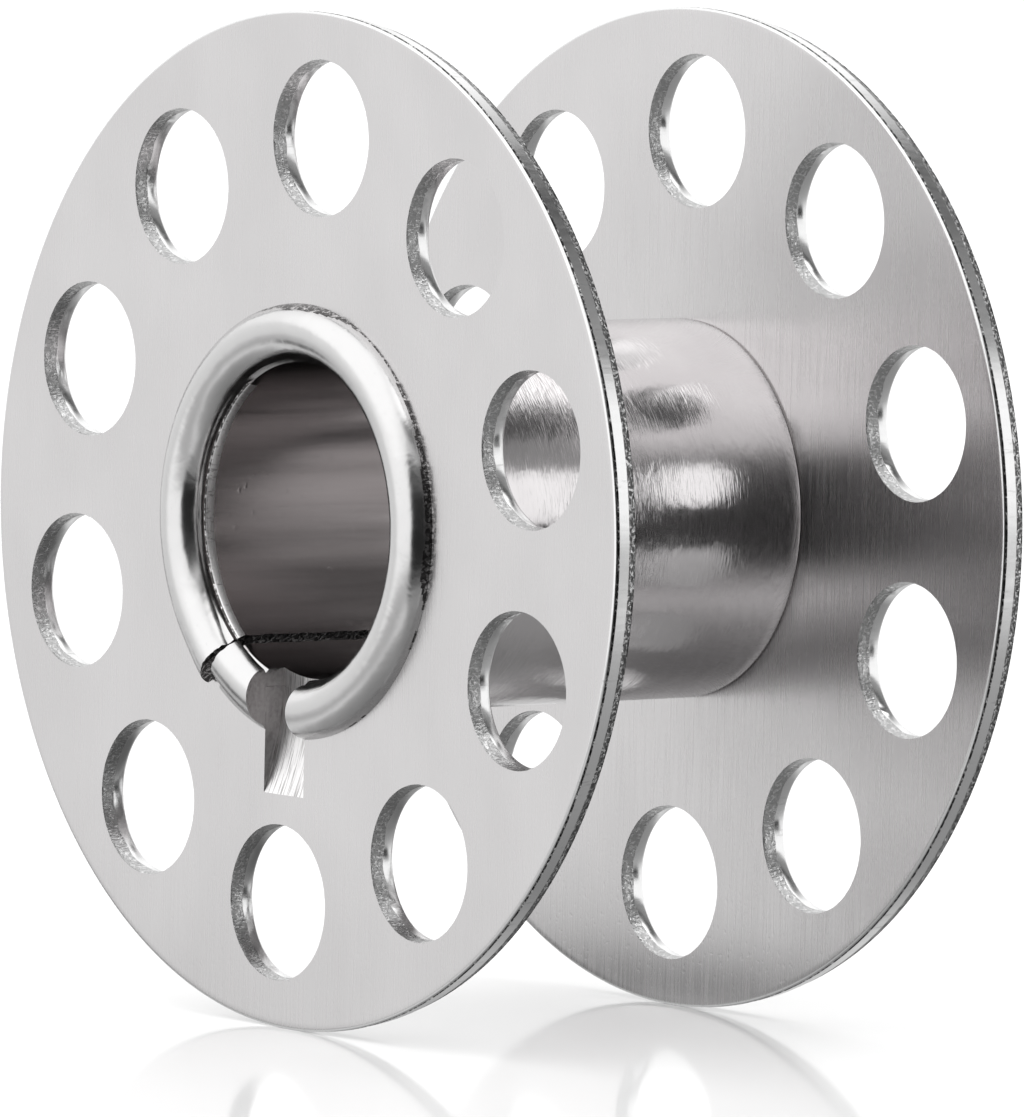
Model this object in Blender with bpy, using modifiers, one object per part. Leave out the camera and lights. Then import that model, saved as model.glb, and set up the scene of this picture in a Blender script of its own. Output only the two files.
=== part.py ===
"""A steel class 15 sewing machine bobbin: two punched flanges riveted on a rolled hub sleeve.

Metres, +Z up. The bobbin's axis is Y and the bobbin stands on its two rims. The origin is the
middle of the axis. The front end, at -Y, is the one with the milled notch.

Every piece is turned about its own Z and hangs on the empty bobbin_axis, which lays that Z
along -Y. So inside the pieces +Z is the front end, X is X, and Y is up.
"""

import math

import bmesh
import bpy

MM = 0.001

# Flanges: discs punched from sheet, with a ring of round holes.
RIM_RADIUS = 10.15 * MM
WIDTH_OVER_FLANGES = 10.3 * MM
SHEET = 0.55 * MM
RIM_ROUND = 0.12 * MM
HOLE_COUNT = 10
HOLE_RADIUS = 1.52 * MM
HOLE_CIRCLE_RADIUS = 7.65 * MM
FRONT_HOLE_START = math.radians(14.8)
REAR_HOLE_START = math.radians(16.9)
PLAIN_FACE_RADIUS = 5.6 * MM

# Hub sleeve: a strip rolled into a tube, shouldered at the flanges and curled over them.
HUB_RADIUS = 3.85 * MM
NECK_RADIUS = 3.5 * MM
BORE_RADIUS = 3.15 * MM
LIP_RADIUS = 4.335 * MM
LIP_THICKNESS = 0.03 * MM
CROWN_HEIGHT = 0.5 * MM
CROWN_RADIUS = 0.54 * MM
CROWN_MIDDLE = 3.79 * MM
CROWN_OUTER_TURN = math.radians(74)
CROWN_INNER_TURN = math.radians(75)
THROAT_DEPTH = 0.3 * MM
SEAM_ANGLE = math.radians(233)
SEAM_GAP = 0.22 * MM

# Notch: one pass of a milling wheel across the front curl and into the flange below it.
NOTCH_WIDTH = 1.3 * MM
NOTCH_OFFSET = -0.31 * MM
NOTCH_DEPTH = 0.45 * MM
NOTCH_DEEPEST = 3.0 * MM
WHEEL_RADIUS = 6.0 * MM

FIT_GAP = 0.015 * MM
FLANGE_STEPS = 72
SLEEVE_STEPS = 48
HOLE_SIDES = 24
WHEEL_SIDES = 96
ARC_STEPS = 5

FACE = WIDTH_OVER_FLANGES / 2
FLANGE_MIDDLE = FACE - SHEET / 2


def clear_scene():
    for thing in list(bpy.data.objects):
        bpy.data.objects.remove(thing)


def new_collection(name):
    made = bpy.data.collections.new(name)
    bpy.context.scene.collection.children.link(made)
    return made


def arc(middle_r, middle_z, radius, start, end, steps):
    """Points of an arc in the profile plane, with angles counted from straight up towards +R."""
    turns = [start + (end - start) * i / steps for i in range(steps + 1)]
    return [(middle_r + radius * math.sin(a), middle_z + radius * math.cos(a)) for a in turns]


def metal(name, colour, roughness):
    made = bpy.data.materials.new(name)
    made.use_nodes = True
    shader = made.node_tree.nodes["Principled BSDF"]
    shader.inputs["Base Color"].default_value = (*colour, 1)
    shader.inputs["Metallic"].default_value = 1
    shader.inputs["Roughness"].default_value = roughness
    return made


def turned(name, profile, steps, material, axis, collection):
    """A closed profile of (radius, height) points turned about Z, with a facet at its lowest point."""
    mesh = bpy.data.meshes.new(name)
    edges = [(i, (i + 1) % len(profile)) for i in range(len(profile))]
    mesh.from_pydata([(r, 0, z) for r, z in profile], edges, [])
    piece = bpy.data.objects.new(name, mesh)
    collection.objects.link(piece)
    mesh.materials.append(material)
    piece.parent = axis
    piece.rotation_euler = (0, 0, math.pi / steps)
    screw = piece.modifiers.new("Turn", "SCREW")
    screw.steps = steps
    screw.render_steps = steps
    screw.use_merge_vertices = True
    screw.merge_threshold = 1e-7
    screw.use_smooth_shade = True
    return piece


def cutter(name, mesh_maker, axis, collection):
    """A closed mesh that cuts and is never part of the bobbin."""
    mesh = bpy.data.meshes.new(name)
    shape = bmesh.new()
    mesh_maker(shape)
    bmesh.ops.recalc_face_normals(shape, faces=shape.faces)
    shape.to_mesh(mesh)
    shape.free()
    made = bpy.data.objects.new(name, mesh)
    collection.objects.link(made)
    made.parent = axis
    made.hide_render = True
    made.display_type = "WIRE"
    return made


def cut(piece, tool):
    boolean = piece.modifiers.new(tool.name, "BOOLEAN")
    boolean.operation = "DIFFERENCE"
    boolean.solver = "EXACT"
    boolean.object = tool


def flange_profile():
    """The disc's section, from the front of the rim down its edge and back to the hub hole."""
    half = SHEET / 2
    corner = RIM_RADIUS - RIM_ROUND
    front_edge = arc(corner, half - RIM_ROUND, RIM_ROUND, 0, math.pi / 2, 2)
    rear_edge = arc(corner, RIM_ROUND - half, RIM_ROUND, math.pi / 2, math.pi, 2)
    hub_hole = NECK_RADIUS + FIT_GAP
    faces = [(PLAIN_FACE_RADIUS, -half), (hub_hole, -half), (hub_hole, half), (PLAIN_FACE_RADIUS, half)]
    return front_edge + rear_edge + faces


def curled_end():
    """The front half of the sleeve's outer side: over the curl, under its lip and down to the shoulder."""
    crown = arc(CROWN_MIDDLE, FACE + CROWN_HEIGHT - CROWN_RADIUS, CROWN_RADIUS,
                -CROWN_INNER_TURN, CROWN_OUTER_TURN, ARC_STEPS)
    lip = [(LIP_RADIUS, FACE + FIT_GAP + LIP_THICKNESS), (LIP_RADIUS, FACE + FIT_GAP)]
    shoulder = FACE - SHEET - FIT_GAP
    neck = [(NECK_RADIUS, FACE + FIT_GAP), (NECK_RADIUS, shoulder), (HUB_RADIUS, shoulder)]
    return crown + lip + neck


def sleeve_profile():
    """The rolled strip's section: the curled front end, its mirror image, and the bore back to the front."""
    front = curled_end()
    rear = [(r, -z) for r, z in reversed(front)]
    throat = FACE - THROAT_DEPTH
    return front + rear + [(BORE_RADIUS, -throat), (BORE_RADIUS, throat)]


def hole_punches(start):
    """Ten round punches on the hole circle, the first one at the angle start."""
    def make(shape):
        for i in range(HOLE_COUNT):
            angle = start + i * math.tau / HOLE_COUNT
            made = bmesh.ops.create_cone(shape, cap_ends=True, segments=HOLE_SIDES, depth=3 * SHEET,
                                         radius1=HOLE_RADIUS, radius2=HOLE_RADIUS)
            offset = (HOLE_CIRCLE_RADIUS * math.cos(angle), HOLE_CIRCLE_RADIUS * math.sin(angle), 0)
            bmesh.ops.translate(shape, verts=made["verts"], vec=offset)
    return make


def seam_blade(shape):
    """A thin blade along the whole sleeve, from inside the bore to outside the curls."""
    made = bmesh.ops.create_cube(shape, size=1)
    bmesh.ops.scale(shape, verts=made["verts"], vec=(2 * LIP_RADIUS, SEAM_GAP, 2 * WIDTH_OVER_FLANGES))
    bmesh.ops.translate(shape, verts=made["verts"], vec=(1.2 * LIP_RADIUS, 0, 0))


def milling_wheel(shape):
    bmesh.ops.create_cone(shape, cap_ends=True, segments=WHEEL_SIDES, depth=NOTCH_WIDTH,
                          radius1=WHEEL_RADIUS, radius2=WHEEL_RADIUS)


def main():
    clear_scene()
    bobbin = new_collection("bobbin")
    tools = new_collection("cutters")
    axis = bpy.data.objects.new("bobbin_axis", None)
    bobbin.objects.link(axis)
    axis.rotation_euler = (math.pi / 2, 0, 0)

    plate_metal = metal("brushed_nickel_plate", (0.62, 0.61, 0.60), 0.28)
    sleeve_metal = metal("rolled_nickel_plate", (0.60, 0.59, 0.58), 0.22)

    front_flange = turned("front_flange", flange_profile(), FLANGE_STEPS, plate_metal, axis, bobbin)
    front_flange.location.z = FLANGE_MIDDLE
    rear_flange = turned("rear_flange", flange_profile(), FLANGE_STEPS, plate_metal, axis, bobbin)
    rear_flange.location.z = -FLANGE_MIDDLE
    hub_sleeve = turned("hub_sleeve", sleeve_profile(), SLEEVE_STEPS, sleeve_metal, axis, bobbin)

    front_punches = cutter("front_hole_punches", hole_punches(FRONT_HOLE_START), axis, tools)
    front_punches.location.z = FLANGE_MIDDLE
    rear_punches = cutter("rear_hole_punches", hole_punches(REAR_HOLE_START), axis, tools)
    rear_punches.location.z = -FLANGE_MIDDLE
    blade = cutter("seam_blade", seam_blade, axis, tools)
    blade.rotation_euler = (0, 0, SEAM_ANGLE)
    wheel = cutter("notch_wheel", milling_wheel, axis, tools)
    wheel.rotation_euler = (0, math.pi / 2, 0)
    wheel.location = (NOTCH_OFFSET, -NOTCH_DEEPEST, FACE - NOTCH_DEPTH + WHEEL_RADIUS)

    cut(front_flange, front_punches)
    cut(front_flange, wheel)
    cut(rear_flange, rear_punches)
    cut(hub_sleeve, blade)
    cut(hub_sleeve, wheel)
    bpy.context.view_layer.update()


main()
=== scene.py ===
"""The looks of a steel class 15 sewing machine bobbin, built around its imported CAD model.

The axis is Y, with the notched front end at -Y, and the bobbin stands on its two rims. Turned
shapes are profiles of (radius, y) points, and angles run from +X towards +Z.
"""

import math

import bmesh
import bpy
from mathutils import Matrix, Vector, noise

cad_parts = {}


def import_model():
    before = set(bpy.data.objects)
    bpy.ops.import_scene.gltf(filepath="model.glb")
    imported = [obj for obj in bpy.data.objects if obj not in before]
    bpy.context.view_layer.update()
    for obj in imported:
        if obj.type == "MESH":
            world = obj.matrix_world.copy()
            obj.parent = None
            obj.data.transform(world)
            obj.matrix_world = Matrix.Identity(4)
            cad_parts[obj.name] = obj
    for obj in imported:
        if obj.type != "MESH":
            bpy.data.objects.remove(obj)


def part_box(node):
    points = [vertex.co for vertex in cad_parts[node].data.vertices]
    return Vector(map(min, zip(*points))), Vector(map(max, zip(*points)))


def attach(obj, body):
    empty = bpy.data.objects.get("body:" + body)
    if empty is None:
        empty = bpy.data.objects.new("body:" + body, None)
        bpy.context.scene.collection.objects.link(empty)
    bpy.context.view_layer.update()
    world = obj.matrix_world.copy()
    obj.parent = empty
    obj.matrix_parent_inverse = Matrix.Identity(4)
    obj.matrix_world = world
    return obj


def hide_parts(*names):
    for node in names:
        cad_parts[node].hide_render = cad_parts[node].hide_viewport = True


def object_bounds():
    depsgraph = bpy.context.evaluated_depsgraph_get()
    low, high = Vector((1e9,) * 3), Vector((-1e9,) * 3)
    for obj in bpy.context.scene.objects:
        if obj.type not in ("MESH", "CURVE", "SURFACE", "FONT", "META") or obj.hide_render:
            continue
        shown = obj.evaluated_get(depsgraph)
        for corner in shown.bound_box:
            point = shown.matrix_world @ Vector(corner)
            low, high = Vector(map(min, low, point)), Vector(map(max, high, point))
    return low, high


MM = 0.001

# Flange details. The disc's own radius and thickness come from its CAD box.
HOLE_COUNT = 10
HOLE_RADIUS = 1.52 * MM
HOLE_CIRCLE_RADIUS = 7.65 * MM
HOLE_START = {"front_flange": math.radians(14.8), "rear_flange": math.radians(16.9)}
HUB_HOLE_RADIUS = 3.502 * MM
RIM_MARGIN = 0.16 * MM
BURNISH_TAPER = 0.031 * MM
RIM_STEPS = 480
HOLE_STEPS = 96

# Hub sleeve details, the same design as the CAD's.
HUB_RADIUS = 3.85 * MM
NECK_RADIUS = 3.5 * MM
BORE_RADIUS = 3.15 * MM
LIP_RADIUS = 4.335 * MM
CROWN_HEIGHT = 0.5 * MM
CROWN_RADIUS = 0.54 * MM
CROWN_MIDDLE = 3.79 * MM
SEAM_ANGLE = math.radians(233)
SEAM_GAP = 0.22 * MM
SLEEVE_STEPS = 420
SHOULDER_CORNER = 0.05 * MM
FIT_GAP = 0.004 * MM

# The throat, where the curl meets the bore. Its land, which carries a painted highlight, starts this many
# degrees from +X.
THROAT_STEP_RADIUS = 3.238 * MM
THROAT_RADIUS = 3.25 * MM
THROAT_REACH = 0.23 * MM
LAND_FROM_DEGREES = 125

# Milled notch.
NOTCH_WIDTH = 1.3 * MM
NOTCH_OFFSET = -0.31 * MM
NOTCH_DEPTH = 0.45 * MM
NOTCH_DEEPEST = 3.2 * MM
WHEEL_RADIUS = 6.0 * MM

# Material slots of the discs' faces, then of the sleeve's.
PLATE, BURNISHED, FRACTURE, MILLED, WALL, GRAIN = range(6)
HUB, CURL, EDGE, BORE, CUT, CUT_WALL, THROAT = range(7)

# Camera: it looks at a point just right of and under the middle of the bobbin.
CAMERA_AZIMUTH = math.radians(51.97)
CAMERA_ELEVATION = math.radians(4.635)
CAMERA_ROLL = math.radians(1.367)
CAMERA_DISTANCE = 288.06 * MM
CAMERA_SIDE = 0.165 * MM
CAMERA_DROP = 0.89 * MM
LENS_MM = 462.6
SENSOR_MM = 36

# Horizontal directions in the tent round the bobbin, and the softbox above its front.
RIGHT_REAR = (0.785, 0.614, 0.0)
RIGHT_REAR_LOW = (0.785, 0.614, -0.08)
RIGHT_FRONT = (0.927, -0.375, 0.0)
FRONT = (-0.1, -0.99, 0.0)
SOFTBOX = (-0.25, -0.64, 0.73)


# ---------------------------------------------------------------- node helpers


def add(tree, kind, inputs=None, **settings):
    """A new shader node, its inputs linked or set."""
    made = tree.nodes.new(kind)
    for key, value in settings.items():
        setattr(made, key, value)
    for key, value in (inputs or {}).items():
        if isinstance(value, bpy.types.NodeSocket):
            tree.links.new(value, made.inputs[key])
        else:
            made.inputs[key].default_value = value
    return made


def flat_coords(tree, size):
    """Object coordinates divided by a size in millimetres on each axis."""
    coords = add(tree, "ShaderNodeTexCoord").outputs["Object"]
    scale = [1 / (s * MM) for s in size]
    return add(tree, "ShaderNodeMapping", {"Vector": coords, "Scale": scale}).outputs["Vector"]


def wrapped_coords(tree, radius, around, along):
    """Coordinates on a cylinder about Y: millimetres round it and along it, over the sizes given."""
    coords = add(tree, "ShaderNodeTexCoord").outputs["Object"]
    axes = add(tree, "ShaderNodeSeparateXYZ", {0: coords})
    angle = add(tree, "ShaderNodeMath", {0: axes.outputs["Z"], 1: axes.outputs["X"]}, operation="ARCTAN2")
    per_turn = radius / (around * MM)
    per_metre = 1 / (along * MM)
    turn = add(tree, "ShaderNodeMath", {0: angle.outputs[0], 1: per_turn}, operation="MULTIPLY")
    reach = add(tree, "ShaderNodeMath", {0: axes.outputs["Y"], 1: per_metre}, operation="MULTIPLY")
    return add(tree, "ShaderNodeCombineXYZ", {0: turn.outputs[0], 1: reach.outputs[0]}).outputs[0]


def cloud(tree, coords, detail=2.0, distortion=0.0):
    """Smooth noise from 0 to 1, with features of about one unit of coords."""
    settings = {"Vector": coords, "Scale": 1.0, "Detail": detail, "Distortion": distortion}
    return add(tree, "ShaderNodeTexNoise", settings).outputs["Fac"]


def level(tree, value, low, high, start=0.3, end=0.7):
    """value, stretched from start..end to low..high."""
    inputs = {"Value": value, "From Min": start, "From Max": end, "To Min": low, "To Max": high}
    return add(tree, "ShaderNodeMapRange", inputs).outputs["Result"]


def tint(tree, value, stops):
    """A colour ramp of two stops or more: (place, grey) or (place, (r, g, b))."""
    ramp = add(tree, "ShaderNodeValToRGB", {"Fac": value})
    elements = ramp.color_ramp.elements
    while len(elements) < len(stops):
        elements.new(0.5)
    for element, (place, grey) in zip(elements, stops):
        element.position = place
        colour = grey if isinstance(grey, tuple) else (grey, grey, grey)
        element.color = (*colour, 1)
    return ramp.outputs["Color"]


def bump(tree, height, depth, normal=None):
    """A bump of depth millimetres, on top of an earlier one."""
    inputs = {"Height": height, "Distance": depth * MM, "Strength": 1.0}
    if normal is not None:
        inputs["Normal"] = normal
    return add(tree, "ShaderNodeBump", inputs).outputs["Normal"]


def metal(name):
    """A new metallic material: its tree and its shader."""
    made = bpy.data.materials.new(name)
    made.use_nodes = True
    shader = made.node_tree.nodes["Principled BSDF"]
    shader.inputs["Metallic"].default_value = 1
    return made, made.node_tree, shader


def finish_metal(tree, shader, colour, roughness, normal):
    """Links the shader's three inputs, or sets the one that is a plain number."""
    for key, value in (("Base Color", colour), ("Roughness", roughness), ("Normal", normal)):
        if isinstance(value, bpy.types.NodeSocket):
            tree.links.new(value, shader.inputs[key])
        else:
            shader.inputs[key].default_value = value


# ---------------------------------------------------------------- materials


def plate_metal():
    """Nickel plate over sheet that was brushed straight up and down, with faint pits and stains."""
    made, tree, shader = metal("brushed_nickel_plate")
    brushing = cloud(tree, flat_coords(tree, (0.05, 0.05, 2.2)), 3)
    soft_brushing = cloud(tree, flat_coords(tree, (0.4, 0.4, 5.0)), 2)
    pits = cloud(tree, flat_coords(tree, (0.11, 0.11, 0.11)), 1)
    stains = cloud(tree, flat_coords(tree, (2.4, 2.4, 3.4)), 3)
    colour = tint(tree, stains, [(0.3, (0.625, 0.614, 0.616)), (0.7, (0.665, 0.654, 0.656))])
    roughness = level(tree, brushing, 0.2, 0.3)
    shader.inputs["Anisotropic"].default_value = 0.55
    tangent = add(tree, "ShaderNodeTangent", direction_type="RADIAL", axis="Z").outputs[0]
    tree.links.new(tangent, shader.inputs["Tangent"])
    normal = bump(tree, level(tree, pits, 0, 1, 0.3, 0.38), 0.0004)
    normal = bump(tree, soft_brushing, 0.0018, normal)
    normal = bump(tree, brushing, 0.0012, normal)
    finish_metal(tree, shader, colour, roughness, normal)
    return made


def burnished_metal():
    """The smooth part of a sheared edge, with score lines across the sheet's thickness."""
    made, tree, shader = metal("burnished_shear")
    scores = cloud(tree, flat_coords(tree, (0.12, 1.4, 0.12)), 2)
    colour = tint(tree, scores, [(0.2, 0.54), (0.36, 0.72)])
    normal = bump(tree, scores, 0.0012)
    finish_metal(tree, shader, colour, level(tree, scores, 0.24, 0.16), normal)
    return made


def torn_metal(name, hollow_grain_and_shade, grain_top_and_glint, depth):
    """The torn part of a sheared edge: grainy, with a grey for its hollows and one for the tops of its
    grains. A near-black hollow grey is painted shade, and the bright grain tops then show as painted
    glints.
    """
    made, tree, shader = metal(name)
    grains = cloud(tree, flat_coords(tree, (0.07, 0.07, 0.07)), 3, 0.6)
    tears = cloud(tree, flat_coords(tree, (0.05, 0.2, 0.05)), 2)
    colour = tint(tree, grains, [(0.48, hollow_grain_and_shade), (0.68, grain_top_and_glint)])
    normal = bump(tree, grains, depth)
    normal = bump(tree, tears, 0.012, normal)
    finish_metal(tree, shader, colour, level(tree, grains, 0.36, 0.22), normal)
    return made


def milled_metal():
    """Bare metal from the milling wheel, with bright strokes along the cut."""
    made, tree, shader = metal("milled_notch")
    strokes = cloud(tree, flat_coords(tree, (0.05, 2.5, 2.5)), 2)
    fine = cloud(tree, flat_coords(tree, (0.025, 0.6, 0.6)), 2)
    colour = tint(tree, fine, [(0.34, (0.40, 0.39, 0.39)), (0.5, (0.86, 0.85, 0.85))])
    normal = bump(tree, strokes, 0.004)
    normal = bump(tree, fine, 0.005, normal)
    finish_metal(tree, shader, colour, level(tree, fine, 0.3, 0.42), normal)
    return made


def milled_wall_metal():
    """The notch's side walls, where the wheel's flat sides rubbed past."""
    made, tree, shader = metal("milled_notch_side")
    grains = cloud(tree, flat_coords(tree, (0.08, 0.08, 0.08)), 2)
    colour = tint(tree, grains, [(0.3, (0.42, 0.405, 0.405)), (0.6, (0.52, 0.505, 0.505))])
    normal = bump(tree, grains, 0.003)
    finish_metal(tree, shader, colour, 0.2, normal)
    return made


def hub_metal():
    """Satin plate on the outside of the tube: short strokes round it, over shallow dents."""
    made, tree, shader = metal("satin_hub")
    strokes = cloud(tree, wrapped_coords(tree, HUB_RADIUS, 0.35, 0.04), 2, 0.5)
    dents = cloud(tree, wrapped_coords(tree, HUB_RADIUS, 0.5, 0.35), 2, 0.5)
    stains = cloud(tree, wrapped_coords(tree, HUB_RADIUS, 2.0, 1.6), 2)
    colour = tint(tree, stains, [(0.3, (0.625, 0.605, 0.610)), (0.7, (0.690, 0.670, 0.675))])
    normal = bump(tree, dents, 0.008)
    normal = bump(tree, strokes, 0.003, normal)
    finish_metal(tree, shader, colour, level(tree, strokes, 0.11, 0.19), normal)
    return made


def curl_metal():
    """The polished curl: smooth, with slight dents from the riveting tool."""
    made, tree, shader = metal("rolled_curl")
    dents = cloud(tree, flat_coords(tree, (0.5, 0.5, 0.5)), 2, 0.3)
    specks = cloud(tree, flat_coords(tree, (0.05, 0.05, 0.05)), 2)
    colour = tint(tree, specks, [(0.22, 0.52), (0.34, (0.61, 0.606, 0.606))])
    normal = bump(tree, dents, 0.012)
    normal = bump(tree, specks, 0.0006, normal)
    finish_metal(tree, shader, colour, level(tree, dents, 0.17, 0.24), normal)
    return made


def edge_metal():
    """The strip's own sheared sides: on the curl's flank and throat, the shoulders and the seam. Their
    near-black grey is painted shade and their bright specks painted glints, on real sheared sides.
    """
    made, tree, shader = metal("sheared_end_painted_shade")
    grains = cloud(tree, flat_coords(tree, (0.09, 0.09, 0.09)), 3, 0.8)
    colour = tint(tree, grains, [(0.48, (0.08, 0.077, 0.077)), (0.68, (0.68, 0.67, 0.67))])
    normal = bump(tree, grains, 0.014)
    finish_metal(tree, shader, colour, level(tree, grains, 0.34, 0.2), normal)
    return made


def throat_metal():
    """The narrow land where the curl meets the bore, a little rough. Its near-white grey is a painted
    highlight.
    """
    made, tree, shader = metal("throat_painted_highlight")
    grains = cloud(tree, flat_coords(tree, (0.06, 0.3, 0.06)), 2, 0.4)
    colour = tint(tree, grains, [(0.3, (0.55, 0.54, 0.54)), (0.42, (0.95, 0.94, 0.94))])
    normal = bump(tree, grains, 0.005)
    finish_metal(tree, shader, colour, 0.4, normal)
    return made


def bore_metal():
    """Inside the tube: unpolished, darker and a little brown, with faint lines along it."""
    made, tree, shader = metal("bore_wall")
    streaks = cloud(tree, wrapped_coords(tree, BORE_RADIUS, 0.25, 3.5), 2)
    spots = cloud(tree, wrapped_coords(tree, BORE_RADIUS, 0.3, 0.3), 2)
    colour = tint(tree, streaks, [(0.3, (0.425, 0.404, 0.404)), (0.7, (0.485, 0.464, 0.464))])
    normal = bump(tree, streaks, 0.0016)
    normal = bump(tree, level(tree, spots, 0, 1, 0.28, 0.36), 0.0015, normal)
    finish_metal(tree, shader, colour, level(tree, streaks, 0.14, 0.2), normal)
    return made


# ---------------------------------------------------------------- shapes


def polar(radius, angle, y):
    """The point at that radius and angle about Y."""
    return Vector((radius * math.cos(angle), y, radius * math.sin(angle)))


def arc(middle_r, middle_y, radius, start, end, steps):
    """Points of an arc in the profile plane. Angles count from straight out along y towards +radius."""
    turns = [start + (end - start) * i / steps for i in range(steps + 1)]
    return [(middle_r + radius * math.sin(a), middle_y + radius * math.cos(a)) for a in turns]


def new_piece(name, shape, materials):
    """An object made from the bmesh, which is freed, with its material slots."""
    mesh = bpy.data.meshes.new(name)
    bmesh.ops.recalc_face_normals(shape, faces=shape.faces)
    shape.to_mesh(mesh)
    shape.free()
    for material in materials:
        mesh.materials.append(material)
    piece = bpy.data.objects.new(name, mesh)
    bpy.context.scene.collection.objects.link(piece)
    return piece


def cut_away(piece, tools):
    """Cuts each tool from the piece, applies the result and removes the tools."""
    for tool in tools:
        boolean = piece.modifiers.new(tool.name, "BOOLEAN")
        boolean.operation = "DIFFERENCE"
        boolean.solver = "EXACT"
        boolean.object = tool
    bpy.context.view_layer.update()
    graph = bpy.context.evaluated_depsgraph_get()
    made = bpy.data.meshes.new_from_object(piece.evaluated_get(graph), depsgraph=graph)
    piece.modifiers.clear()
    piece.data = made
    for tool in tools:
        bpy.data.objects.remove(tool)


def smooth(piece, crisp, angle=32):
    """Smooth shading, with sharp edges at corners and all round the faces in the crisp slots."""
    mesh = piece.data
    mesh.shade_smooth()
    mesh.set_sharp_from_angle(angle=math.radians(angle))
    sides = {}
    for face in mesh.polygons:
        for key in face.edge_keys:
            sides.setdefault(key, set()).add(face.material_index)
    for edge in mesh.edges:
        slots = sides[tuple(sorted(edge.vertices))]
        if len(slots) > 1 and slots & set(crisp):
            edge.use_edge_sharp = True


def ripple(point, size, depth):
    """A repeatable random height of up to depth, for features of the given size."""
    return depth * noise.noise(point / size)


def ring_of(shape, profile, steps, zones, roughen):
    """A closed profile turned all the way round Y. zones holds the material slot after each point."""
    columns = []
    for i in range(steps):
        angle = math.tau * i / steps
        columns.append([shape.verts.new(roughen(polar(r, angle, y), zones[k], zones[k - 1]))
                        for k, (r, y) in enumerate(profile)])
    for i in range(steps):
        here, there = columns[i], columns[(i + 1) % steps]
        for k in range(len(profile)):
            m = (k + 1) % len(profile)
            face = shape.faces.new((here[k], here[m], there[m], there[k]))
            face.material_index = zones[k]


def flange_profile(rim, low, high):
    """The disc's section, and the slot after each point. Its rim is rolled over at the -Y side,
    burnished in the middle behind a fine groove, and torn at the +Y side. The groove and the torn band
    take the torn finish, whose near-black grey is painted shade with painted glints."""
    roll = 0.07 * MM
    roll_depth = 0.05 * MM
    rolled = [(rim - roll + roll * math.sin(a), low + roll_depth * (1 - math.cos(a)))
              for a in (math.radians(15 * i) for i in range(1, 6))]
    burnish_start = low + 0.095 * MM
    tear_start = low + 0.64 * (high - low)
    tear_rim = rim - BURNISH_TAPER
    tear_taper = 0.06 * MM
    tear_end = high - 0.004 * MM
    points, zones = [], []

    def to(r, y, zone):
        points.append((r, y))
        zones.append(zone)

    to(HUB_HOLE_RADIUS, low, PLATE)
    to(rim - RIM_MARGIN, low, PLATE)
    to(rim - roll, low, PLATE)
    for r, y in rolled:
        to(r, y, BURNISHED)
    # The fine groove, in the torn finish: a painted dark line of shade.
    to(rim - 0.012 * MM, low + 0.053 * MM, FRACTURE)
    to(rim - 0.035 * MM, low + 0.075 * MM, FRACTURE)
    to(rim, burnish_start, BURNISHED)
    to(tear_rim, tear_start, FRACTURE)
    for share in (0.2, 0.4, 0.6, 0.8, 1.0):
        to(tear_rim - tear_taper * share, tear_start + (tear_end - tear_start) * share, FRACTURE)
    to(rim - 0.09 * MM, high, PLATE)
    to(rim - RIM_MARGIN, high, PLATE)
    to(HUB_HOLE_RADIUS, high, BURNISHED)
    return points, zones


def rough_rim(point, zone, before):
    """Torn metal is uneven. Every other surface keeps its shape."""
    if zone != FRACTURE or before != FRACTURE:
        return point
    depth = ripple(point, 0.12 * MM, 0.014 * MM) + ripple(point, 0.5 * MM, 0.01 * MM)
    outward = Vector((point.x, 0, point.z)).normalized()
    return point - outward * abs(depth)


def punch(shape, middle_x, middle_z, low, high):
    """One punched hole: torn and a little wider at the -Y side, burnished and rolled over at +Y."""
    tear = (low + high) / 2
    rows = [(low - 0.3 * MM, 0.05 * MM, GRAIN), (low - 0.01 * MM, 0.045 * MM, GRAIN)]
    first_torn = len(rows)
    for share in (0.08, 0.25, 0.45, 0.65, 0.85):
        rows.append((low + (tear - low) * share, 0.03 * (1 - share) ** 1.5 * MM, GRAIN))
    tear_row = len(rows)
    rows += [(tear, 0.0, BURNISHED), (high - 0.07 * MM, 0.018 * MM, BURNISHED)]
    rows += [(high - 0.03 * MM, 0.03 * MM, BURNISHED), (high + 0.01 * MM, 0.06 * MM, BURNISHED)]
    rows += [(high + 0.3 * MM, 0.23 * MM, BURNISHED)]
    rings = []
    for k, (y, flare, _) in enumerate(rows):
        ring = []
        for i in range(HOLE_STEPS):
            angle = math.tau * i / HOLE_STEPS
            spot = Vector((middle_x, y, middle_z)) + polar(HOLE_RADIUS + flare, angle, 0)
            if first_torn <= k < tear_row:
                fine = abs(ripple(spot, 0.13 * MM, 0.022 * MM))
                coarse = abs(ripple(spot, 0.45 * MM, 0.012 * MM))
                spot += polar(fine + coarse, angle, 0)
            if k == tear_row:
                spot.y += ripple(spot, 0.4 * MM, 0.05 * MM)
            ring.append(shape.verts.new(spot))
        rings.append(ring)
    for k in range(len(rings) - 1):
        for i in range(HOLE_STEPS):
            n = (i + 1) % HOLE_STEPS
            face = shape.faces.new((rings[k][i], rings[k][n], rings[k + 1][n], rings[k + 1][i]))
            face.material_index = rows[k][2]
    shape.faces.new(rings[0])
    shape.faces.new(rings[-1])


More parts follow.
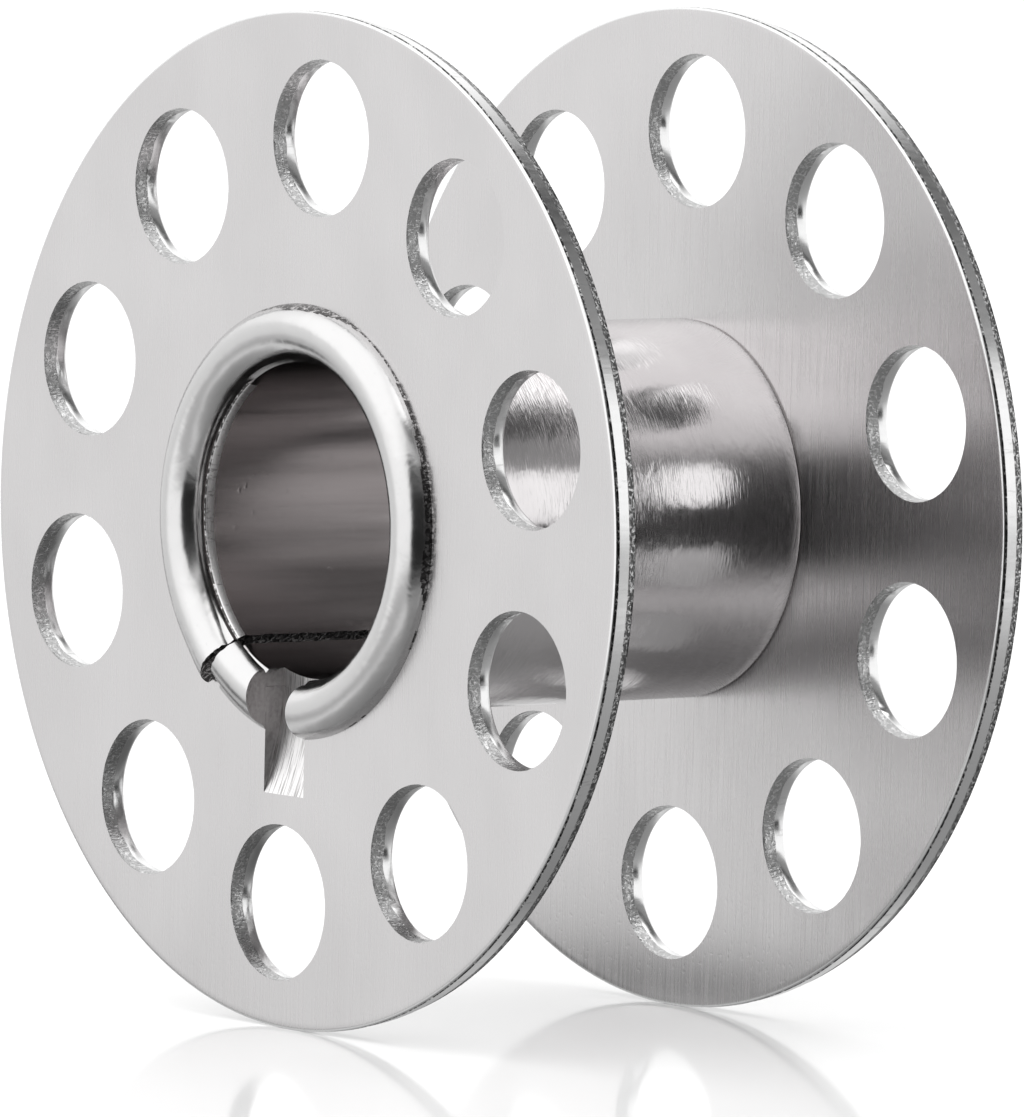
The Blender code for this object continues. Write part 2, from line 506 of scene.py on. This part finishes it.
def wheel(name, floor_slot, wall_slot, materials, face_y):
    """The milling wheel that cuts the notch, on its own axis along X."""
    shape = bmesh.new()
    made = bmesh.ops.create_cone(shape, cap_ends=True, segments=360, depth=NOTCH_WIDTH,
                                 radius1=WHEEL_RADIUS, radius2=WHEEL_RADIUS)
    middle_y = face_y + NOTCH_DEPTH - WHEEL_RADIUS
    place = Matrix.Translation((NOTCH_OFFSET, middle_y, -NOTCH_DEEPEST))
    bmesh.ops.transform(shape, matrix=place @ Matrix.Rotation(math.pi / 2, 4, "Y"), verts=made["verts"])
    shape.normal_update()
    for face in shape.faces:
        face.material_index = wall_slot if abs(face.normal.x) > 0.9 else floor_slot
    return new_piece(name, shape, materials)


def flange(name, node, materials, notched):
    """One disc with its ten punched holes, standing for the CAD node."""
    low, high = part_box(node)
    rim = (high.z - low.z) / 2
    shape = bmesh.new()
    profile, zones = flange_profile(rim, low.y, high.y)
    ring_of(shape, profile, RIM_STEPS, zones, rough_rim)
    piece = new_piece(name, shape, materials)
    punches = bmesh.new()
    for i in range(HOLE_COUNT):
        middle = polar(HOLE_CIRCLE_RADIUS, HOLE_START[node] + math.tau * i / HOLE_COUNT, 0)
        punch(punches, middle.x, middle.z, low.y, high.y)
    tools = [new_piece("punches", punches, materials)]
    if notched:
        tools.append(wheel("wheel", MILLED, WALL, materials, low.y))
    cut_away(piece, tools)
    smooth(piece, [MILLED, WALL, FRACTURE])
    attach(piece, "root")
    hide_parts(node)


def curl_profile(face):
    """One curled end at +Y, from the bore over the curl to the neck. face is the flange's outer face."""
    points = []

    def to(r, out, zone):
        points.append((r, face + out, zone))

    to(BORE_RADIUS, -0.24 * MM, THROAT)
    to(3.16 * MM, -0.19 * MM, THROAT)
    to(3.185 * MM, -0.11 * MM, THROAT)
    to(3.2 * MM, -0.08 * MM, EDGE)
    to(3.236 * MM, -0.06 * MM, CURL)
    to(3.24 * MM, 0.02 * MM, CURL)
    crown = arc(CROWN_MIDDLE, CROWN_HEIGHT - CROWN_RADIUS, CROWN_RADIUS,
                math.radians(-80), math.radians(82), 40)
    for r, out in crown:
        to(r, out, CURL)
    to(LIP_RADIUS, FIT_GAP, EDGE)
    to(NECK_RADIUS, FIT_GAP, EDGE)
    return points


def sleeve_profile(front_face, rear_face, sheet):
    """The whole strip's section, as (radius, y, slot after the point)."""
    front_shoulder = front_face + sheet + FIT_GAP
    rear_shoulder = rear_face - sheet - FIT_GAP
    corner = HUB_RADIUS - SHOULDER_CORNER
    bevel = HUB_RADIUS - 0.4 * SHOULDER_CORNER
    bevel_height = 0.7 * SHOULDER_CORNER

    front = [(r, -y, zone) for r, y, zone in curl_profile(-front_face)]
    # The bevel at the hub's foot takes the darker bore metal: painted shade along its joint with the disc.
    front += [(NECK_RADIUS, front_shoulder, EDGE), (corner, front_shoulder, BORE)]
    front += [(bevel, front_shoulder + bevel_height, HUB)]

    start = front_shoulder + 2 * SHOULDER_CORNER
    end = rear_shoulder - 2 * SHOULDER_CORNER
    hub_rows = 40
    hub = [(HUB_RADIUS, start + (end - start) * i / hub_rows, HUB) for i in range(hub_rows + 1)]

    rear_curl = curl_profile(rear_face)
    # The bevel at the rear disc takes the same painted shade along its joint.
    rear = [(bevel, rear_shoulder - bevel_height, BORE)]
    rear += [(corner, rear_shoulder, EDGE), (NECK_RADIUS, rear_shoulder, EDGE)]
    # The rear curl is run from the neck to the bore, so each point takes the slot of the one after it.
    for k in range(len(rear_curl) - 1, 0, -1):
        r, y, _ = rear_curl[k]
        rear.append((r, y, rear_curl[k - 1][2]))
    rear.append((rear_curl[0][0], rear_curl[0][1], BORE))

    bore_rows = 60
    first, last = rear_curl[0][1], front[0][1]
    bore = [(BORE_RADIUS, first + (last - first) * i / bore_rows, BORE) for i in range(1, bore_rows)]
    return front + hub + rear + bore


def strip_zone(point, zone, front_face):
    """The slot of a face, from its first point. The strip's sheared end shows on the curl's outer flank,
    from the top round to the lower +X side, and the throat's land, with its painted highlight, and the
    dark step beside it only on the -X side."""
    out = abs(point.y) + front_face
    radius = math.hypot(point.x, point.z)
    angle = math.degrees(math.atan2(point.z, point.x))
    if radius < THROAT_RADIUS and zone in (THROAT, EDGE):
        return zone if abs(angle) > LAND_FROM_DEGREES else BORE
    if radius < CROWN_MIDDLE or out < 0:
        return zone
    # The sheared end's height over the disc: thin low down, wider beside +X, widest at the top. Beside +X
    # the extra width is painted shade along the curl's foot.
    reach = 0.03 if angle < -18 else 0.05
    if -18 < angle < 50:
        reach += 0.0028 * min(50 - angle, 8 * (angle + 18))
    reach += 0.25 * max(0.0, 1 - ((angle - 92) / 30) ** 2)
    raggedness = 0.08 if angle > 60 else 0.025
    reach = reach * MM + ripple(point, 0.5 * MM, raggedness * MM)
    return EDGE if out < reach and -75 < angle < 122 else zone


def settle(point, angle, front_face):
    """Beats the curl a little out of round: pulled in just past the seam, pushed out just before it,
    and uneven all round. In the throat, it flattens the step towards the bore outside the land that
    carries the painted highlight."""
    out = abs(point.y) + front_face
    radius = math.hypot(point.x, point.z)
    outward = Vector((point.x, 0, point.z)).normalized()
    if radius < THROAT_STEP_RADIUS and out > -THROAT_REACH:
        from_x = abs(math.degrees(math.atan2(point.z, point.x)))
        share = min(1.0, max(0.0, (from_x - LAND_FROM_DEGREES + 5) / 6))
        return point - outward * (radius - BORE_RADIUS) * 0.7 * (1 - share)
    if out <= 0 or radius < THROAT_RADIUS:
        return point
    past_seam = (angle - SEAM_ANGLE) % math.tau
    before_seam = math.tau - past_seam
    pull = 0.0
    if past_seam < math.pi:
        pull = 0.2 * MM * math.exp(-(past_seam / math.radians(26)) ** 2)
    if before_seam < math.pi:
        pull = -0.09 * MM * math.exp(-(before_seam / math.radians(9)) ** 2)
    wave = ripple(point, 1.6 * MM, 0.012 * MM) + ripple(point, 0.35 * MM, 0.003 * MM)
    fade_height = 0.08 * MM
    return point - outward * (pull + wave) * min(1.0, out / fade_height)


def sleeve(name, node, materials):
    """The rolled strip with its open seam, and the notch through its front curl."""
    front_low, front_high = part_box("front_flange")
    rear_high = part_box("rear_flange")[1]
    profile = sleeve_profile(front_low.y, rear_high.y, front_high.y - front_low.y)
    shape = bmesh.new()
    columns = []
    for i in range(SLEEVE_STEPS + 1):
        column = []
        for r, y, _ in profile:
            edge = math.asin(SEAM_GAP / 2 / r)
            angle = SEAM_ANGLE + edge + (math.tau - 2 * edge) * i / SLEEVE_STEPS
            if i in (0, SLEEVE_STEPS):
                sign = 1 if i == 0 else -1
                angle += sign * abs(ripple(Vector((r, y, i * MM)), 0.16 * MM, 0.05 * MM)) / r
            column.append(shape.verts.new(settle(polar(r, angle, y), angle, front_low.y)))
        columns.append(column)
    count = len(profile)
    for i in range(SLEEVE_STEPS):
        for k in range(count):
            m = (k + 1) % count
            here, there = columns[i], columns[i + 1]
            face = shape.faces.new((here[k], here[m], there[m], there[k]))
            face.material_index = strip_zone(here[k].co, profile[k][2], front_low.y)
    for column in (columns[0], columns[-1]):
        shape.faces.new(column).material_index = EDGE
    piece = new_piece(name, shape, materials)
    cut_away(piece, [wheel("wheel", CUT, CUT_WALL, materials, front_low.y)])
    smooth(piece, [CUT, CUT_WALL, BORE], 38)
    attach(piece, "root")
    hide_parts(node)


# ---------------------------------------------------------------- stage


def floor_gloss():
    """Glossy white acrylic, with a faint glow so that it stays white beside the bobbin."""
    made = bpy.data.materials.new("white_acrylic")
    made.use_nodes = True
    shader = made.node_tree.nodes["Principled BSDF"]
    shader.inputs["Base Color"].default_value = (0.9, 0.9, 0.9, 1)
    shader.inputs["Roughness"].default_value = 0.08
    shader.inputs["IOR"].default_value = 1.25
    shader.inputs["Emission Color"].default_value = (1, 1, 1, 1)
    shader.inputs["Emission Strength"].default_value = 0.11
    return made


def lay_floor(level_z):
    """The pale floor. Reflections in the metal pass through it to the tent below."""
    shape = bmesh.new()
    bmesh.ops.create_grid(shape, x_segments=1, y_segments=1, size=3)
    bmesh.ops.translate(shape, verts=shape.verts, vec=(0, 0, level_z))
    floor = new_piece("floor", shape, [floor_gloss()])
    floor.visible_glossy = False


def shade_film(name, strongest):
    """A see-through black, strongest in the middle of its object and clear at its edges."""
    made = bpy.data.materials.new(name)
    made.use_nodes = True
    tree = made.node_tree
    coords = add(tree, "ShaderNodeTexCoord").outputs["Object"]
    distance = add(tree, "ShaderNodeVectorMath", {0: coords}, operation="LENGTH").outputs["Value"]
    share = level(tree, distance, strongest, 0, 0.25, 1)
    black = add(tree, "ShaderNodeEmission", {"Strength": 0.0}).outputs[0]
    clear = add(tree, "ShaderNodeBsdfTransparent").outputs[0]
    mixed = add(tree, "ShaderNodeMixShader", {0: share, 1: clear, 2: black}).outputs[0]
    tree.links.new(mixed, tree.nodes["Material Output"].inputs["Surface"])
    return made


def hang_shade(name, place, strongest):
    """A soft shadow under the floor, which only reflections in the bobbin see. place moves, turns and
    scales a square that reaches 1 m each way from its middle."""
    shape = bmesh.new()
    bmesh.ops.create_grid(shape, x_segments=1, y_segments=1, size=1)
    card = new_piece(name, shape, [shade_film(name, strongest)])
    card.matrix_world = place
    card.visible_camera = False
    card.visible_diffuse = False
    card.visible_shadow = False
    card.visible_transmission = False


def shade_the_floor(level_z):
    """The bobbin's own shadow between its discs, and the darker foot of the tent on its left."""
    under = Matrix.Translation((-3 * MM, 0, level_z - 0.1 * MM))
    under_size = Matrix.Diagonal((14 * MM, 6.5 * MM, 1, 1))
    hang_shade("shade_under", under @ under_size, 0.6)
    left = Matrix.Translation((-38.5 * MM, -19.5 * MM, level_z - 7.0 * MM))
    upright = Matrix.Rotation(math.radians(-52), 4, "Z") @ Matrix.Rotation(math.pi / 2, 4, "X")
    left_size = Matrix.Diagonal((9 * MM, 6.9 * MM, 1, 1))
    hang_shade("shade_left", left @ upright @ left_size, 0.9)


def studio_world():
    """A white tent with dark gaps on the camera's side, and a bright softbox above the front. The camera
    itself sees plain white."""
    world = bpy.data.worlds.new("studio")
    bpy.context.scene.world = world
    world.use_nodes = True
    tree = world.node_tree
    background = tree.nodes["Background"]
    coords = add(tree, "ShaderNodeTexCoord").outputs["Generated"]
    height = add(tree, "ShaderNodeSeparateXYZ", {0: coords}).outputs["Z"]
    rise = level(tree, height, 0, 1, -1, 1)

    def by_height(*stops):
        """Grey against height, with heights from -1 straight down to 1 straight up."""
        return tint(tree, rise, [((z + 1) / 2, grey) for z, grey in stops])

    def towards(direction, start, end):
        """0 to 1 as the cosine of the angle to the direction goes from start to end."""
        along = add(tree, "ShaderNodeVectorMath", {0: coords, 1: direction}, operation="DOT_PRODUCT")
        return level(tree, along.outputs["Value"], 0, 1, start, end)

    def blend(share, one, other):
        """The first colour where share is 0, and the other where it is 1."""
        mix = add(tree, "ShaderNodeMix", data_type="RGBA")
        tree.links.new(share, mix.inputs["Factor"])
        tree.links.new(one, mix.inputs[6])
        tree.links.new(other, mix.inputs[7])
        return mix.outputs[2]

    left = by_height((-1, 0.3), (-0.75, 0.5), (-0.62, 0.95), (-0.4, 0.62), (-0.25, 0.75),
                     (-0.12, 0.98), (0.25, 1.1), (0.38, 1.35), (1, 1.4))
    right_rear = by_height((-1, 0.3), (-0.58, 0.36), (-0.34, 0.5), (-0.2, 1.1), (-0.02, 1.3),
                           (0.38, 1.35), (0.42, 0.34), (0.6, 0.3), (0.64, 0.1), (0.75, 0.1), (0.8, 1.9))
    low_gap = by_height((-0.4, 0.55), (-0.27, 0.5), (-0.24, 0.015), (-0.03, 0.015), (0.0, 1.3),
                        (0.38, 1.35), (0.42, 0.42), (0.62, 0.38))
    front = by_height((-1, 0.4), (-0.3, 0.7), (-0.15, 1.4))
    right_front = by_height((-1, 0.4), (-0.5, 0.42), (-0.42, 0.1), (-0.3, 0.025), (0.2, 0.025),
                            (0.42, 0.1), (0.52, 0.5), (0.62, 1.3))
    softbox = by_height((-1, 1.6), (1, 1.6))
    seen = blend(towards(RIGHT_REAR, 0.05, 0.35), left, right_rear)
    seen = blend(towards(RIGHT_REAR_LOW, 0.96, 0.98), seen, low_gap)
    seen = blend(towards(FRONT, 0.72, 0.9), seen, front)
    seen = blend(towards(RIGHT_FRONT, 0.72, 0.82), seen, right_front)
    seen = blend(towards(SOFTBOX, 0.76, 0.86), seen, softbox)
    camera_ray = add(tree, "ShaderNodeLightPath").outputs["Is Camera Ray"]
    white = by_height((-1, 1.0), (1, 1.0))
    tree.links.new(blend(camera_ray, seen, white), background.inputs["Color"])
    background.inputs["Strength"].default_value = 1.0


def place_camera():
    data = bpy.data.cameras.new("camera")
    data.lens = LENS_MM
    data.sensor_width = SENSOR_MM
    data.clip_start = 0.01
    data.clip_end = 10
    camera = bpy.data.objects.new("camera", data)
    bpy.context.scene.collection.objects.link(camera)
    aim = Matrix.Rotation(CAMERA_AZIMUTH, 4, "Z") @ Matrix.Rotation(math.pi / 2 - CAMERA_ELEVATION, 4, "X")
    turn = aim @ Matrix.Rotation(CAMERA_ROLL, 4, "Z")
    camera.matrix_world = turn @ Matrix.Translation((CAMERA_SIDE, -CAMERA_DROP, CAMERA_DISTANCE))
    bpy.context.scene.camera = camera


def main():
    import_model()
    cad_box = [list(corner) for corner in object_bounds()]
    # The rim's torn band is near black, painted shade with painted glints; the holes' torn walls keep a
    # lighter grain.
    torn_rim_painted_shade = torn_metal("torn_rim_painted_shade", 0.06, 0.66, 0.022)
    torn_hole = torn_metal("torn_hole", 0.40, 0.66, 0.014)
    milled, milled_wall = milled_metal(), milled_wall_metal()
    plate = [plate_metal(), burnished_metal(), torn_rim_painted_shade, milled, milled_wall, torn_hole]
    tube = [hub_metal(), curl_metal(), edge_metal(), bore_metal(), milled, milled_wall, throat_metal()]
    flange("front_disc", "front_flange", plate, True)
    flange("rear_disc", "rear_flange", plate, False)
    sleeve("rolled_hub", "hub_sleeve", tube)
    lay_floor(cad_box[0][2])
    shade_the_floor(cad_box[0][2])
    studio_world()
    place_camera()
    bpy.context.scene.view_settings.view_transform = "Standard"


main()
